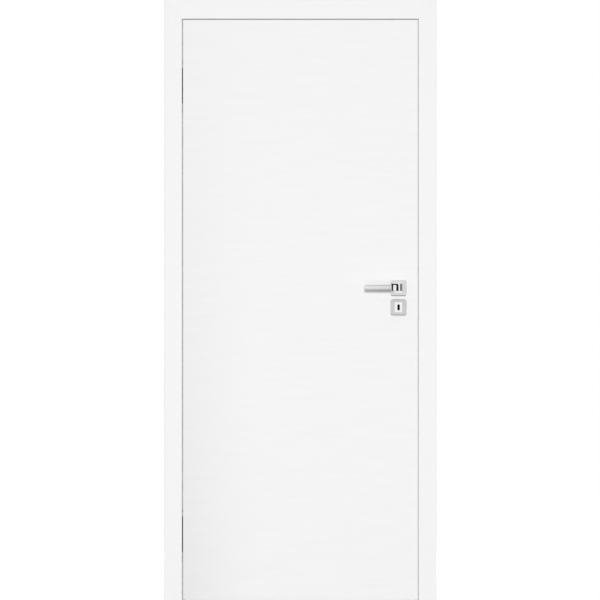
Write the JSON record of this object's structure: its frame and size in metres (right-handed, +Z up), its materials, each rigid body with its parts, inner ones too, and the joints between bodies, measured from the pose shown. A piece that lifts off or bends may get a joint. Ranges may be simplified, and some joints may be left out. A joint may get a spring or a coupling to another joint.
{
  "type": "interior door set with a flush leaf on concealed hinges",
  "caption": "White flush door leaf in a rebated frame with flat casings, concealed hinges, a lever handle on a square rose and a keyhole plate.",
  "frame": {"origin": "foot of the hinge-side front casing, in the middle of the face that bears on the wall", "axes": "+X across the door from the hinges to the lock, +Y into the wall, away from the side shown, +Z up"},
  "size_m": [0.952, 0.182, 2.1074],
  "materials": {
    "leaf_white": "smooth white lacquer with a very faint grain",
    "leaf_edge_white": "white edge band",
    "core_board": "raw board",
    "frame_white": "smooth white lacquer",
    "seal_rubber": "soft matt",
    "satin_metal": "satin nickel",
    "polished_metal": "polished",
    "bolt_metal": "nickel plated",
    "lock_steel": "galvanised"
  },
  "bodies": {
    "frame": {"jamb_hinge_side": "frame_white", "jamb_lock_side": "frame_white", "jamb_head": "frame_white", "stop_hinge_side": "frame_white", "stop_lock_side": "frame_white", "stop_head": "frame_white", "casing_front_hinge_side": "frame_white", "casing_front_lock_side": "frame_white", "casing_front_head": "frame_white", "casing_rear_hinge_side": "frame_white", "casing_rear_lock_side": "frame_white", "casing_rear_head": "frame_white", "seal_hinge_side": "seal_rubber", "seal_lock_side": "seal_rubber", "seal_head": "seal_rubber", "strike_plate": "satin_metal", "hinge_upper_frame_housing": "satin_metal", "hinge_lower_frame_housing": "satin_metal"},
    "leaf": {"leaf_front_skin": "leaf_white", "leaf_back_skin": "leaf_white", "leaf_stile_hinge_side": "leaf_edge_white", "leaf_stile_lock_side": "leaf_edge_white", "leaf_rail_top": "leaf_edge_white", "leaf_rail_bottom": "leaf_edge_white", "leaf_core": "core_board", "lock_case_front": "lock_steel", "lock_case_rear": "lock_steel", "lock_faceplate": "satin_metal", "latch_bolt": "bolt_metal", "dead_bolt": "bolt_metal", "rose_front": "satin_metal", "rose_rear": "satin_metal", "escutcheon_front": "satin_metal", "escutcheon_rear": "satin_metal", "hinge_upper_leaf_housing": "satin_metal", "hinge_lower_leaf_housing": "satin_metal"},
    "handle": {"lever_elbow_front": "polished_metal", "lever_grip_front": "satin_metal", "lever_elbow_rear": "polished_metal", "lever_grip_rear": "satin_metal", "spindle": "lock_steel"},
    "hinge_frame_arms": {"hinge_upper_frame_arm": "satin_metal", "hinge_lower_frame_arm": "satin_metal"},
    "hinge_leaf_arms": {"hinge_upper_leaf_arm": "satin_metal", "hinge_lower_leaf_arm": "satin_metal"}
  },
  "joints": [
    {"name": "leaf_swing", "type": "hinge", "parent": "frame", "child": "leaf", "pos_m": [0.05075, -0.018, 1.023], "axis": [0, 0, -1], "range_deg": [0, 175]},
    {"name": "lever_turn", "type": "hinge", "parent": "leaf", "child": "handle", "pos_m": [0.8065, 0.008, 1.1], "axis": [0, -1, 0], "range_deg": [0, 40], "stiffness_Nm_per_rad": 1.5, "springref_deg": -22.92},
    {"name": "frame_arm_turn", "type": "hinge", "parent": "frame", "child": "hinge_frame_arms", "pos_m": [0.03975, -0.001, 1.023], "axis": [0, 0, -1], "range_deg": [0, 175]},
    {"name": "leaf_arm_turn", "type": "hinge", "parent": "leaf", "child": "hinge_leaf_arms", "pos_m": [0.06175, -0.001, 1.023], "axis": [0, 0, -1], "range_deg": [-175, 0]}
  ],
  "couplings": [
    {"joint": "frame_arm_turn", "follows": "leaf_swing", "ratio": 1},
    {"joint": "leaf_arm_turn", "follows": "leaf_swing", "ratio": -1}
  ]
}
